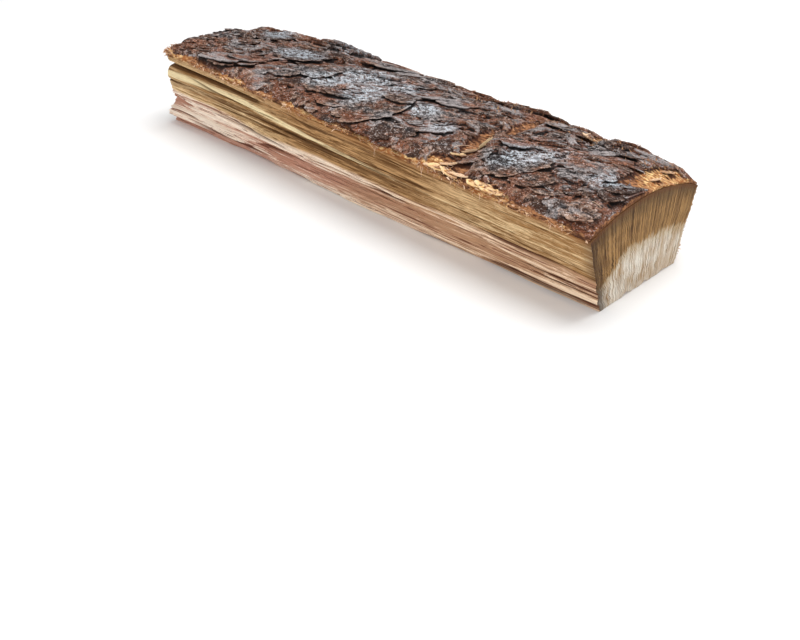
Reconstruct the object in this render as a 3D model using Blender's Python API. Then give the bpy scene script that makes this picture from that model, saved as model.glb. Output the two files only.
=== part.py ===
"""A split firewood log, lying on its flat lower face with the bark on top.

The log is a quarter-round billet: two radial splits lean in towards the heart of the tree, a third split
takes the heart away, and both ends are saw cuts. The wood is one solid and the bark on it is another.
Metres, +X along the grain towards the front end, +Z up, origin under the middle of the log.
"""

import math

import bmesh
import bpy
from mathutils import Vector, noise

# Driving dimensions
LENGTH = 0.406
BARK_GAP = 0.0003
INNER_BARK = 0.0030
PLATE_RISE = 0.0072
BARK_OVERHANG = 0.0016
BARK_END_BACKSET = 0.0008
RIM_WIDTH = 0.006
RIM_ROUNDING = 0.35

# The saw-cut sections, as (y, z) of the feet and shoulders, and the rise of the round outside between them
BACK = {
    "left_foot": (-0.0410, 0.0),
    "right_foot": (0.0430, 0.0),
    "left_shoulder": (-0.0360, 0.0530),
    "right_shoulder": (0.0590, 0.0435),
    "crown": 0.0050,
}
FRONT = {
    "left_foot": (-0.0410, 0.0),
    "right_foot": (0.0390, 0.0),
    "left_shoulder": (-0.0570, 0.0520),
    "right_shoulder": (0.0540, 0.0480),
    "crown": 0.0112,
}

# How far the right shoulder bulges out and up between the ends
BULGE = (0.0040, 0.0044)

# Ledges of the split faces: share of the height, then how far the wood stands out at the back and front ends
LEFT_LEDGES = (
    (0.00, -0.0050, -0.0006),
    (0.06, -0.0030, 0.0002),
    (0.13, -0.0003, 0.0008),
    (0.18, -0.0012, -0.0004),
    (0.24, -0.0044, -0.0010),
    (0.33, -0.0048, 0.0002),
    (0.44, -0.0042, -0.0008),
    (0.54, -0.0030, -0.0012),
    (0.62, -0.0010, 0.0004),
    (0.69, 0.0008, 0.0009),
    (0.77, 0.0005, -0.0003),
    (0.83, -0.0012, -0.0006),
    (0.90, -0.0014, -0.0004),
    (0.94, 0.0000, 0.0000),
    (1.00, 0.0000, 0.0003),
)
RIGHT_LEDGES = (
    (0.00, -0.0006, -0.0004),
    (0.12, 0.0010, 0.0006),
    (0.22, 0.0002, 0.0014),
    (0.34, -0.0026, -0.0010),
    (0.48, -0.0010, -0.0022),
    (0.60, 0.0016, -0.0004),
    (0.72, 0.0004, 0.0012),
    (0.86, -0.0018, 0.0002),
    (1.00, 0.0000, 0.0000),
)
LEDGE_FADE = 0.75

# The shake, a crack along the grain under the bark that opens at the back end
SHAKE_HEIGHT = 0.868
SHAKE_HALF_WIDTH = 0.028
SHAKE_DEPTH = 0.0075
SHAKE_REACH = 0.40

# Slow waves of the split faces along the grain
WAVE = 0.0011
WAVE_LENGTH = 0.085

# Grooves of the lower face, as (share of the width, half width, depth), between flat lands that the log lies on
UNDER_GROOVES = (
    (0.14, 0.045, 0.0016),
    (0.33, 0.060, 0.0024),
    (0.58, 0.040, 0.0018),
    (0.83, 0.065, 0.0022),
)

# Scales of the bark
PLATE_LONG = 0.043
PLATE_WIDE = 0.0150
PLATE_TURN = math.radians(24)
PLATE_WARP = 0.0075
LEVEL_SHARE = 0.42
SHINGLE_SHARE = 0.58
SWELL = 0.0016
SWELL_LENGTH = 0.055

# Places where the outer bark has come off, as centre and radius along and across the bark, and a turn in degrees
BARE_PATCHES = (
    (0.289, 0.004, 0.020, 0.008, 15),
    (0.293, 0.032, 0.011, 0.022, 12),
    (0.300, 0.074, 0.011, 0.026, 4),
    (0.331, 0.000, 0.013, 0.0045, 0),
    (0.341, 0.107, 0.012, 0.006, 0),
    (0.402, 0.074, 0.017, 0.030, -10),
    (0.403, 0.004, 0.007, 0.006, 0),
    (0.030, 0.001, 0.022, 0.004, 0),
    (0.062, 0.101, 0.018, 0.005, 0),
    (0.214, 0.106, 0.020, 0.004, 0),
)
BARE_DEPTH = 0.86
BARE_EDGE = 0.35

# Mesh divisions: cells along the grain, cells across, and the heights where the split faces have an edge line
WOOD_CELLS_LONG = 34
WOOD_CELLS_WIDE = 14
WOOD_HEIGHTS = (
    0, 0.06, 0.13, 0.18, 0.24, 0.33, 0.44, 0.54, 0.62,
    0.69, 0.77, 0.83, 0.868, 0.905, 0.94, 1,
)
BARK_CELLS_LONG = 74
BARK_CELLS_WIDE = 26

WOOD_COLOUR = (0.46, 0.29, 0.16, 1.0)
BARK_COLOUR = (0.075, 0.052, 0.045, 1.0)


def lerp(a, b, share):
    return a + (b - a) * share


def smooth(low, high, value):
    """0 below low, 1 above high, and an even curve between them."""
    share = min(1.0, max(0.0, (value - low) / (high - low)))
    return share * share * (3 - 2 * share)


def corner(name, along):
    """(y, z) of a section corner, along from 0 at the back end to 1 at the front."""
    back, front = BACK[name], FRONT[name]
    y, z = lerp(back[0], front[0], along), lerp(back[1], front[1], along)
    if name == "right_shoulder":
        bulge = 1 - (2 * along - 1) ** 4
        return y + BULGE[0] * bulge, z + BULGE[1] * bulge
    return y, z


def outside_height(along, y):
    """Height of the wood's round outside, which the bark lies on."""
    left_y, left_z = corner("left_shoulder", along)
    right_y, right_z = corner("right_shoulder", along)
    across = (y - left_y) / (right_y - left_y)
    crown = lerp(BACK["crown"], FRONT["crown"], along)
    return lerp(left_z, right_z, across) + 4 * crown * across * (1 - across)


def ledge(table, along, up):
    """How far the ledges stand out at this place on a split face."""
    fade = smooth(0.0, LEDGE_FADE, along)
    for (low, back_low, front_low), (high, back_high, front_high) in zip(table, table[1:]):
        if up <= high:
            share = (up - low) / (high - low)
            return lerp(lerp(back_low, back_high, share), lerp(front_low, front_high, share), fade)
    return lerp(table[-1][1], table[-1][2], fade)


def shake(along, up):
    """Depth of the crack under the bark."""
    gape = max(0.0, 1 - abs(up - SHAKE_HEIGHT) / SHAKE_HALF_WIDTH)
    return SHAKE_DEPTH * gape * (1 - smooth(0.0, SHAKE_REACH, along))


def wave(along, up, seed):
    place = Vector((along * LENGTH / WAVE_LENGTH, up * 1.6, seed))
    return WAVE * noise.noise(place) * smooth(0.0, 0.15, up)


def left_face(along, up):
    foot, shoulder = corner("left_foot", along)[0], corner("left_shoulder", along)[0]
    stand = ledge(LEFT_LEDGES, along, up) - shake(along, up) + wave(along, up, 2.5)
    return lerp(foot, shoulder, up) - stand


def right_face(along, up):
    foot, shoulder = corner("right_foot", along)[0], corner("right_shoulder", along)[0]
    return lerp(foot, shoulder, up) + ledge(RIGHT_LEDGES, along, up) + wave(along, up, 9.5)


def under_face(along, across):
    """Height of the lower face: flat lands at 0, with shallow grooves that wander along the grain."""
    depth = 0.0
    drift = 0.03 * noise.noise(Vector((along * 3.0, 0.5, 7.0)))
    for centre, half_width, deep in UNDER_GROOVES:
        fall = max(0.0, 1 - abs(across + drift - centre) / half_width)
        strength = smooth(-0.25, 0.25, noise.noise(Vector((along * 4.0, centre * 30.0, 1.0))))
        depth = max(depth, deep * fall * strength)
    return depth


def wood_place(along, across, up):
    """The point of the wood at these shares of its length, width and height."""
    x = (along - 0.5) * LENGTH
    y = lerp(left_face(along, up), right_face(along, up), across)
    top_y = lerp(left_face(along, 1), right_face(along, 1), across)
    z = lerp(under_face(along, across), outside_height(along, top_y), up)
    return Vector((x, y, z))


def patch_cover(along_m, across_m):
    """How bare the bark is here, from 0, whole, to 1, stripped to its inner layer."""
    cover = 0.0
    ragged = 0.30 * noise.noise(Vector((along_m / 0.008, across_m / 0.008, 4.0)))
    for s, t, radius_s, radius_t, turn in BARE_PATCHES:
        cos, sin = math.cos(math.radians(turn)), math.sin(math.radians(turn))
        ds, dt = along_m - s, across_m - t
        reach = math.hypot((ds * cos + dt * sin) / radius_s, (dt * cos - ds * sin) / radius_t)
        cover = max(cover, 1 - smooth(1 - BARE_EDGE, 1 + BARE_EDGE, reach + ragged))
    return cover


def scale_rise(along_m, across_m):
    """Height of the bark's scales from 0 to 1: each one steps up on its left side, as a shingle does."""
    warp = Vector((along_m / 0.030, across_m / 0.020, 3.1))
    s = along_m + PLATE_WARP * noise.noise(warp)
    t = across_m + 0.6 * PLATE_WARP * noise.noise(warp + Vector((9.0, 4.0, 0.0)))
    cos, sin = math.cos(PLATE_TURN), math.sin(PLATE_TURN)
    lengthwise = (s * cos + t * sin) / PLATE_LONG
    crosswise = (t * cos - s * sin) / PLATE_WIDE
    _, centres = noise.voronoi(Vector((lengthwise, crosswise, 0.5)))
    level = 0.5 + 0.5 * noise.cell(centres[0] * 9.7)
    shingle = min(1.0, max(0.0, 0.5 - 0.8 * (crosswise - centres[0].y)))
    return LEVEL_SHARE * level + SHINGLE_SHARE * shingle


def bark_thickness(along_m, across_m):
    swell = SWELL * noise.noise(Vector((along_m / SWELL_LENGTH, across_m / SWELL_LENGTH, 12.0)))
    outer = PLATE_RISE * scale_rise(along_m, across_m) + swell
    return INNER_BARK + max(0.0, outer) * (1 - BARE_DEPTH * patch_cover(along_m, across_m))


def bark_edge_wander(along):
    """How far the bark's long edges reach past the wood or fall short of it."""
    return BARK_OVERHANG * (0.4 + 1.3 * noise.noise(Vector((along * 17.0, 0.3, 5.0))))


def bark_place(along, across, outward):
    """The point of the bark: outward is 0 on the side that lies on the wood, and 1 on the rough side."""
    x = (along - 0.5) * (LENGTH - 2 * BARK_END_BACKSET)
    along = x / LENGTH + 0.5
    wood_left = corner("left_shoulder", along)[0]
    left = wood_left - bark_edge_wander(along)
    right = corner("right_shoulder", along)[0] + bark_edge_wander(along + 1.7)
    y = lerp(left, right, across)
    rim = min(across, 1 - across) * (right - left)
    rounding = 1 - RIM_ROUNDING * (1 - smooth(0.0, RIM_WIDTH, rim))
    thickness = bark_thickness(along * LENGTH, y - wood_left) * rounding
    return Vector((x, y, outside_height(along, y) + BARK_GAP + outward * thickness))


def divided_block(cells, levels):
    """A unit block, 0 to 1 each way, divided into cells along X, Y and Z. Levels replace even heights."""
    mesh = bmesh.new()
    bmesh.ops.create_cube(mesh, size=1.0)
    bmesh.ops.translate(mesh, verts=mesh.verts, vec=(0.5, 0.5, 0.5))
    for axis, count in enumerate(cells):
        along_axis = [
            edge
            for edge in mesh.edges
            if abs(edge.verts[0].co[axis] - edge.verts[1].co[axis]) > 0.5
        ]
        if count > 1:
            bmesh.ops.subdivide_edges(mesh, edges=along_axis, cuts=count - 1, use_grid_fill=True)
    for vertex in mesh.verts:
        row = round(vertex.co.z * cells[2])
        vertex.co.z = levels[row]
    return mesh


def solid(name, mesh, place, colour, roughness, collection):
    """Moves each vertex of the block to its place and makes the named object, centred later."""
    for vertex in mesh.verts:
        vertex.co = place(*vertex.co)
    bmesh.ops.recalc_face_normals(mesh, faces=mesh.faces)
    data = bpy.data.meshes.new(name)
    mesh.to_mesh(data)
    mesh.free()
    data.shade_smooth()
    data.set_sharp_from_angle(angle=math.radians(40))
    material = bpy.data.materials.new(name)
    material.use_nodes = True
    shader = material.node_tree.nodes["Principled BSDF"]
    shader.inputs["Base Color"].default_value = colour
    shader.inputs["Roughness"].default_value = roughness
    shader.inputs["Metallic"].default_value = 0.0
    data.materials.append(material)
    made = bpy.data.objects.new(name, data)
    collection.objects.link(made)
    return made


def wood(collection):
    cells = (WOOD_CELLS_LONG, WOOD_CELLS_WIDE, len(WOOD_HEIGHTS) - 1)
    block = divided_block(cells, WOOD_HEIGHTS)
    return solid("wood", block, wood_place, WOOD_COLOUR, 0.75, collection)


def bark(collection):
    block = divided_block((BARK_CELLS_LONG, BARK_CELLS_WIDE, 1), (0, 1))
    return solid("bark", block, bark_place, BARK_COLOUR, 0.85, collection)


def centre_on_origin(objects):
    """Shifts the meshes so that the origin lies under the middle of their common box."""
    points = [vertex.co for made in objects for vertex in made.data.vertices]
    middle = [(min(p[axis] for p in points) + max(p[axis] for p in points)) / 2 for axis in (0, 1)]
    shift = Vector((-middle[0], -middle[1], -min(p.z for p in points)))
    for made in objects:
        for vertex in made.data.vertices:
            vertex.co += shift


def main():
    for old in list(bpy.data.objects):
        bpy.data.objects.remove(old)
    collection = bpy.data.collections.new("firewood_log")
    bpy.context.scene.collection.children.link(collection)
    centre_on_origin([wood(collection), bark(collection)])


main()
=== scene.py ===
"""The firewood log as it looks: scaly bark, torn and sawn wood, frayed inner bark and splinters.

Metres, +X along the grain towards the front saw cut, +Z up through the bark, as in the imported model.
"""

import math
import random

import bmesh
import bpy
import numpy as np
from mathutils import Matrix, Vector, noise


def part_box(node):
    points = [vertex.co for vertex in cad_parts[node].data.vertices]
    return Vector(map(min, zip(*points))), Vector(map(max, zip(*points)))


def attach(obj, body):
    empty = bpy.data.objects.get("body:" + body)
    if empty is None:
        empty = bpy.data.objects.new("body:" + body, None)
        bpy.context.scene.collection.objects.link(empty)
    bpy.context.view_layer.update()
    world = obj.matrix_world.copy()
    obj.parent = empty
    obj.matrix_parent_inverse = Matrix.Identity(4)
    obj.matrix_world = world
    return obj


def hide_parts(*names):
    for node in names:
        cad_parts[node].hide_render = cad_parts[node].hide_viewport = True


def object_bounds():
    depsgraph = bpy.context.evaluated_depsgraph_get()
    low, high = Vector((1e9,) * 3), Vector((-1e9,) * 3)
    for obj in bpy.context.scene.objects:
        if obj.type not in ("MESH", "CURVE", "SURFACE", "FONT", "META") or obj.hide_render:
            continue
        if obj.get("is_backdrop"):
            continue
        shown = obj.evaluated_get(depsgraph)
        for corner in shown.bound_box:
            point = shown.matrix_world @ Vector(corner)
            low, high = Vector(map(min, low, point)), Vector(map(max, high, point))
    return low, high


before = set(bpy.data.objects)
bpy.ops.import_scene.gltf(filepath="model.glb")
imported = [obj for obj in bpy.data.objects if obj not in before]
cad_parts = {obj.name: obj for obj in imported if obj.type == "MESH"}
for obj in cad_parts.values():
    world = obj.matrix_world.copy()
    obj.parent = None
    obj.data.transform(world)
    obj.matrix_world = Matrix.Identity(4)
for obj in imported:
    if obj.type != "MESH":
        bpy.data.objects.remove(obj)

CAD_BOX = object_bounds()

# Camera, at the photograph's angle
CAMERA_PLACE = (0.5246, -0.5531, 0.3711)
CAMERA_TURN = 43.374
CAMERA_DOWN = 32.496
CAMERA_LENS = 54.0
CAMERA_SENSOR = 36.0

# Studio lights, as name, place, size and power, the light from all round, and the floor
LIGHTS = (
    ("key", (0.05, 0.32, 1.3), 0.8, 13.0),
    ("fill", (0.9, -1.1, 0.7), 1.2, 7.0),
    ("rim", (0.7, 0.9, 0.6), 0.8, 2.0),
)
ROUND_LIGHT = 0.55
FLOOR_TONE = 0.92
FLOOR_HEIGHT = -0.0002

# The wood's sections at the two saw cuts, as (y, z) of the feet and shoulders, and the rise of the outside
LENGTH = 0.406
BARK_GAP = 0.0003
BACK = {
    "left_foot": (-0.0410, 0.0),
    "right_foot": (0.0430, 0.0),
    "left_shoulder": (-0.0360, 0.0530),
    "right_shoulder": (0.0590, 0.0435),
    "crown": 0.0050,
}
FRONT = {
    "left_foot": (-0.0410, 0.0),
    "right_foot": (0.0390, 0.0),
    "left_shoulder": (-0.0570, 0.0520),
    "right_shoulder": (0.0540, 0.0480),
    "crown": 0.0112,
}

# How far the right shoulder bulges out and up between the ends
BULGE = (0.0040, 0.0044)

# Sizes of the split faces, for the pitch of their torn grain
LEFT_HEIGHT = 0.053
RIGHT_HEIGHT = 0.045
UNDER_WIDTH = 0.085

# Ledges of the split faces, as share of the height, and how far they stand out at the back and the front
LEFT_LEDGES = (
    (0.00, -0.0050, -0.0006),
    (0.06, -0.0030, 0.0002),
    (0.13, -0.0003, 0.0008),
    (0.18, -0.0012, -0.0004),
    (0.24, -0.0044, -0.0010),
    (0.33, -0.0048, 0.0002),
    (0.44, -0.0042, -0.0008),
    (0.54, -0.0030, -0.0012),
    (0.62, -0.0010, 0.0004),
    (0.69, 0.0008, 0.0009),
    (0.77, 0.0005, -0.0003),
    (0.83, -0.0012, -0.0006),
    (0.90, -0.0014, -0.0004),
    (0.94, 0.0000, 0.0000),
    (1.00, 0.0000, 0.0003),
)
RIGHT_LEDGES = (
    (0.00, -0.0006, -0.0004),
    (0.12, 0.0010, 0.0006),
    (0.22, 0.0002, 0.0014),
    (0.34, -0.0026, -0.0010),
    (0.48, -0.0010, -0.0022),
    (0.60, 0.0016, -0.0004),
    (0.72, 0.0004, 0.0012),
    (0.86, -0.0018, 0.0002),
    (1.00, 0.0000, 0.0000),
)

# Share of the length over which the ledges change from back to front, and the faces' long wave
LEDGE_FADE = 0.75
WAVE = 0.0011
WAVE_LENGTH = 0.085

# The shake, a crack along the grain under the bark that opens at the back end
SHAKE_HEIGHT = 0.868
SHAKE_HALF_WIDTH = 0.034
SHAKE_DEPTH = 0.0125
SHAKE_REACH = 0.44

# The pale streak of the left face, where a highlight is painted along its lit ledge, as metres from the
# back end and share of the height
PALE_STREAK = (
    (0.001, 0.745),
    (0.098, 0.780),
    (0.184, 0.690),
    (0.250, 0.640),
    (0.335, 0.650),
    (0.401, 0.650),
)

# Grooves of the lower face, as (share of the width, half width, depth), between flat lands
UNDER_GROOVES = (
    (0.14, 0.045, 0.0016),
    (0.33, 0.060, 0.0024),
    (0.58, 0.040, 0.0018),
    (0.83, 0.065, 0.0022),
)

# Torn grain of the split faces, and fibres and saw marks of the ends
TREAD = 0.00065
TREAD_WIDTH = 0.0085
RIDGE = 0.00070
RIDGE_WIDTH = 0.0030
FIBRE = 0.00036
FIBRE_WIDTH = 0.0011
SPLIT = 0.0015
SAW_FIBRE = 0.00018
SAW_MARK = 0.00010
SAW_MARK_PITCH = 0.0042

# Bark: thickness of its inner layer, and the relief under the scales
INNER_BARK = 0.0030
OUTER_BARK = 0.0003
LUMPS = 0.0011
SWELL = 0.0016
SWELL_LENGTH = 0.055

# How far the bark stands out at its sides and back at its ends, and how thick its frayed walls are
BARK_OVERHANG = 0.0016
BARK_END_BACKSET = 0.0008
BARK_WALL = 0.0008

# Share of the outer bark that is gone in the bare places, and how soft their edges are
BARE_DEPTH = 0.86
BARE_EDGE = 0.35

# Share of the bark's height that is gone at its side edges and at its front end
RIM_ROUNDING = 0.45
FRONT_ROUNDING = 0.55

# Plates of the bark: their usual turn to the grain in degrees. Then how many, least and greatest half
# length, width to length, spread of the turn, thickness, and how far the left side stands above the
# plate's middle and the right side below it
PLATE_TURN = 20
LARGE_PLATES = (240, 0.011, 0.025, 0.48, 10, 0.0012, 0.0012)
SMALL_PLATES = (700, 0.003, 0.009, 0.55, 20, 0.0005, 0.0006)

# Loose-edged scales on the plates, with the lift of the open edge in place of the rise, and mesh cells on a
# side, then how ragged they are and how steeply a plate or scale may lie
LARGE_SCALES = (36, 0.009, 0.019, 0.48, 10, 0.0007, 0.0006, 12)
MIDDLE_SCALES = (240, 0.003, 0.008, 0.50, 15, 0.00035, 0.0003, 5)
SMALL_SCALES = (1100, 0.0009, 0.0026, 0.55, 24, 0.00020, 0.00012, 2)
OUTLINE_WAVE = 0.30
STEEPEST = 0.0013

# The biggest scales' thickness and lift, and each one's centre along and across the bark, half length, half
# width and turn in degrees
BIG_SCALE_LOOK = (0.0008, 0.0007)
BIG_SCALES = (
    (0.058, 0.012, 0.022, 0.009, 12),
    (0.076, 0.022, 0.017, 0.009, 15),
    (0.096, 0.053, 0.025, 0.014, 10),
    (0.044, 0.072, 0.017, 0.015, 20),
    (0.130, 0.041, 0.018, 0.016, 10),
    (0.117, 0.022, 0.010, 0.005, 25),
    (0.152, 0.021, 0.012, 0.007, 0),
    (0.158, 0.091, 0.020, 0.015, 30),
    (0.207, 0.021, 0.024, 0.014, 35),
    (0.231, 0.007, 0.023, 0.009, 8),
    (0.254, 0.026, 0.022, 0.009, 25),
    (0.214, 0.039, 0.012, 0.006, 10),
    (0.170, 0.024, 0.015, 0.006, 5),
    (0.247, 0.063, 0.016, 0.009, 25),
    (0.297, 0.043, 0.008, 0.004, 20),
    (0.303, 0.017, 0.011, 0.006, 45),
    (0.329, 0.024, 0.025, 0.011, 45),
    (0.348, 0.017, 0.013, 0.007, 20),
    (0.316, 0.043, 0.011, 0.008, 30),
    (0.297, 0.106, 0.009, 0.006, 30),
    (0.370, 0.081, 0.012, 0.005, 15),
    (0.399, 0.040, 0.013, 0.008, 40),
    (0.398, 0.061, 0.010, 0.005, 20),
    (0.391, 0.007, 0.013, 0.005, 10),
    (0.398, 0.030, 0.009, 0.006, 30),
)

# Places where the outer bark has come off, as centre and radius along and across, and a turn in degrees
BARE_PATCHES = (
    (0.289, 0.004, 0.020, 0.008, 15),
    (0.293, 0.030, 0.0075, 0.020, 12),
    (0.299, 0.072, 0.0060, 0.022, 4),
    (0.331, 0.000, 0.013, 0.0045, 0),
    (0.340, 0.093, 0.009, 0.014, 0),
    (0.402, 0.074, 0.015, 0.030, -10),
    (0.030, 0.001, 0.018, 0.003, 0),
    (0.062, 0.101, 0.018, 0.005, 0),
    (0.214, 0.106, 0.020, 0.004, 0),
)

# Shreds of inner bark on the left rim, at the back left corner, by the far edge and in the bare places: how
# many, then their least and greatest length, width and curl, and their thickness
RIM_SHREDS = 1500
CORNER_SHREDS = 90
FAR_SHREDS = 320
PATCH_SHREDS = 210
RIM_SIZE = ((0.0010, 0.0036), (0.0002, 0.0007), (-0.4, 0.4), 0.00014)
CORNER_SIZE = ((0.0020, 0.0055), (0.0003, 0.0010), (-0.5, 0.3), 0.00030)
FAR_SIZE = ((0.0010, 0.0028), (0.0002, 0.0007), (-0.6, 0.2), 0.00020)
PATCH_SIZE = ((0.0015, 0.0050), (0.0002, 0.0008), (-0.5, 0.3), 0.00015)

# The bare places with shreds, as centre and radius along and across, and how golden the shreds are
SHRED_PATCHES = (
    (0.286, 0.004, 0.014, 0.005, 0.8),
    (0.294, 0.030, 0.007, 0.018, 0.3),
    (0.299, 0.075, 0.008, 0.024, 0.3),
    (0.331, 0.002, 0.012, 0.004, 0.7),
    (0.398, 0.078, 0.010, 0.026, 0.8),
    (0.340, 0.094, 0.006, 0.012, 1.0),
    (0.003, 0.003, 0.004, 0.006, 0.5),
)

# Hairs that hang from the left rim: their width and thickness, and the places of the tufts along the rim
HAIR = (0.00015, 0.00010)
RIM_HAIRS = (0.020, 0.148, 0.185, 0.232, 0.268, 0.274, 0.318, 0.326, 0.334, 0.378)

# The thickness of the splinters on the raw chips, and the chips, given as the biggest scales are
CHIP_SPLINTER = 0.00020
CHIP_LOOK = (0.0009, 0.0014)
RAW_CHIPS = (
    (0.280, 0.001, 0.0060, 0.0018, 8),
    (0.287, 0.002, 0.0085, 0.0034, 12),
    (0.295, 0.001, 0.0070, 0.0028, -10),
    (0.291, 0.006, 0.0050, 0.0018, 25),
    (0.304, 0.002, 0.0060, 0.0020, 5),
    (0.291, 0.014, 0.0045, 0.0016, 35),
    (0.294, 0.022, 0.0050, 0.0013, 48),
    (0.299, 0.031, 0.0045, 0.0012, 66),
    (0.318, 0.001, 0.0065, 0.0020, 5),
    (0.325, 0.001, 0.0075, 0.0028, -6),
    (0.333, 0.001, 0.0060, 0.0022, 14),
    (0.338, 0.088, 0.0060, 0.0036, -8),
    (0.342, 0.096, 0.0045, 0.0030, 12),
    (0.397, 0.088, 0.0050, 0.0022, 60),
    (0.400, 0.070, 0.0045, 0.0018, 75),
)

# Fibres that arch over the bark: width, thickness and curl, then each one's root along and across the bark,
# its way along and across, and its length
ARCH = (0.00028, 0.00018, -0.55)
ARCHED_FIBRES = (
    (0.290, 0.042, 0.8, 0.5, 0.017),
    (0.286, 0.016, 0.7, 0.6, 0.013),
    (0.297, 0.020, 0.3, 0.9, 0.011),
    (0.390, 0.020, 0.9, -0.3, 0.008),
)

# Torn fibres on the left split face, and splinters on the front end's right edge
FACE_FIBRES = 46
EDGE_SPLINTERS = 150

# Where the bare inner bark is golden and not rust brown, as the bare places are given
GOLDEN_PATCHES = (
    (0.400, 0.082, 0.012, 0.024, 0),
    (0.340, 0.093, 0.010, 0.015, 0),
    (0.282, 0.002, 0.012, 0.005, 0),
    (0.240, 0.000, 0.030, 0.003, 0),
    (0.160, 0.000, 0.025, 0.003, 0),
    (0.078, 0.000, 0.012, 0.003, 0),
    (0.008, 0.001, 0.018, 0.004, 0),
    (0.330, 0.000, 0.014, 0.004, 0),
)

# Silver lichen, as centre and radius along and across the bark, and a turn in degrees
LICHENS = (
    (0.043, 0.078, 0.012, 0.014, 20),
    (0.095, 0.052, 0.020, 0.010, 10),
    (0.150, 0.037, 0.020, 0.012, 25),
    (0.166, 0.057, 0.024, 0.013, 20),
    (0.186, 0.034, 0.016, 0.012, 30),
    (0.200, 0.058, 0.014, 0.012, 30),
    (0.110, 0.098, 0.022, 0.008, 0),
    (0.236, 0.041, 0.010, 0.007, 30),
    (0.264, 0.030, 0.010, 0.006, 25),
    (0.329, 0.034, 0.024, 0.010, 42),
    (0.387, 0.042, 0.012, 0.009, 40),
)

# Fine mesh: cells along, across and up, and strips of the hidden side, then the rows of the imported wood
WOOD_CELLS = (156, 130, 120)
WOOD_STRIPS = 26
BARK_CELLS = (468, 144, 6)
BARK_STRIPS = 24
CAD_ROWS = 35


def lerp(a, b, share):
    return a + (b - a) * share


def smooth(low, high, value):
    """0 below low, 1 above high, and an even curve between them."""
    share = np.clip((value - low) / (high - low), 0.0, 1.0)
    return share * share * (3 - 2 * share)


def field(a, b, seed):
    """Smooth noise from about -0.8 to 0.8 at each (a, b)."""
    a, b = np.broadcast_arrays(a, b)
    values = [noise.noise(Vector((x, y, seed))) for x, y in zip(a.ravel(), b.ravel())]
    return np.array(values).reshape(a.shape)


def rough_field(a, b, seed, octaves):
    """Noise with finer noise on it, from about -1 to 1."""
    a, b = np.broadcast_arrays(a, b)
    values = [noise.fractal(Vector((x, y, seed)), 0.9, 2.1, octaves) for x, y in zip(a.ravel(), b.ravel())]
    return np.array(values).reshape(a.shape)


def corner(name, along):
    """(y, z) of a section corner, along from 0 at the back end to 1 at the front."""
    back, front = BACK[name], FRONT[name]
    y, z = lerp(back[0], front[0], along), lerp(back[1], front[1], along)
    if name == "right_shoulder":
        bulge = 1 - (2 * along - 1) ** 4
        return y + BULGE[0] * bulge, z + BULGE[1] * bulge
    return y, z


def outside_height(along, y):
    """Height of the wood's round outside, which the bark lies on."""
    left_y, left_z = corner("left_shoulder", along)
    right_y, right_z = corner("right_shoulder", along)
    across = (y - left_y) / (right_y - left_y)
    crown = lerp(BACK["crown"], FRONT["crown"], along)
    return lerp(left_z, right_z, across) + 4 * crown * across * (1 - across)


def ledge(table, along, up):
    heights, back, front = zip(*table)
    fade = smooth(0.0, LEDGE_FADE, along)
    return lerp(np.interp(up, heights, back), np.interp(up, heights, front), fade)


def wave(along, up, seed):
    return WAVE * field(along * LENGTH / WAVE_LENGTH, up * 1.6, seed) * smooth(0.0, 0.15, up)


def steps(value):
    """Flat treads of even height that tilt a little, with steep risers between them."""
    share = value - np.floor(value)
    return np.floor(value) + 0.25 * share + 0.75 * smooth(0.86, 1.0, share)


def torn_grain(along, height, strength, seed):
    """Relief that the split tore: long treads and sharp ridges along the grain, and finer fibres."""
    x = along * LENGTH
    line = height + 0.0035 * field(x / 0.10, height / 0.03, seed)
    treads = steps(2.6 * field(x / 0.13, line / TREAD_WIDTH, seed + 3.0))
    ridges = 0.35 - np.abs(field(x / 0.11, line / RIDGE_WIDTH, seed + 1.0)) * 2.0
    fibres = field(x / 0.030, line / FIBRE_WIDTH, seed + 2.0)
    return strength * (TREAD * treads + RIDGE * ridges + FIBRE * fibres)


def torn_splits(along, height, seed):
    """1 in the middle of each thin split along the grain, and 0 between them."""
    x = along * LENGTH
    line = height + 0.0030 * field(x / 0.09, height / 0.02, seed)
    open_here = smooth(-0.30, 0.10, field(x / 0.07, line / 0.008, seed + 1.0))
    return np.maximum(0.0, 1 - np.abs(field(x / 0.17, line / 0.0042, seed + 2.0)) / 0.16) * open_here


def left_splits(along, up):
    return torn_splits(along, up * LEFT_HEIGHT, 81.5) * (1 - 0.6 * smooth(0.85, 0.95, up))


def right_splits(along, up):
    return torn_splits(along, up * RIGHT_HEIGHT, 91.5)


def calm(along):
    """The split faces' relief is lower where the saw has trimmed the front end."""
    return 1 - 0.6 * smooth(0.92, 1.0, along)


def left_grain(along, up):
    low = (0.6 + 0.9 * (1 - smooth(0.25, 0.60, along))) * (1 - smooth(0.40, 0.55, up))
    strength = 1.0 + low - 0.5 * smooth(0.80, 0.95, up)
    return torn_grain(along, up * LEFT_HEIGHT, strength, 21.5) - SPLIT * (1 + low) * left_splits(along, up)


def left_face(along, up):
    foot, shoulder = corner("left_foot", along)[0], corner("left_shoulder", along)[0]
    gape = np.maximum(0.0, 1 - np.abs(up - SHAKE_HEIGHT) / SHAKE_HALF_WIDTH)
    shake = SHAKE_DEPTH * gape * (1 - smooth(0.0, SHAKE_REACH, along))
    relief = ledge(LEFT_LEDGES, along, up) + left_grain(along, up)
    return lerp(foot, shoulder, up) - relief * calm(along) + shake - wave(along, up, 2.5)


def right_grain(along, up):
    return torn_grain(along, up * RIGHT_HEIGHT, 0.8, 41.5) - SPLIT * right_splits(along, up)


def right_face(along, up):
    foot, shoulder = corner("right_foot", along)[0], corner("right_shoulder", along)[0]
    relief = ledge(RIGHT_LEDGES, along, up) + right_grain(along, up)
    return lerp(foot, shoulder, up) + relief * calm(along) + wave(along, up, 9.5)


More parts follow.
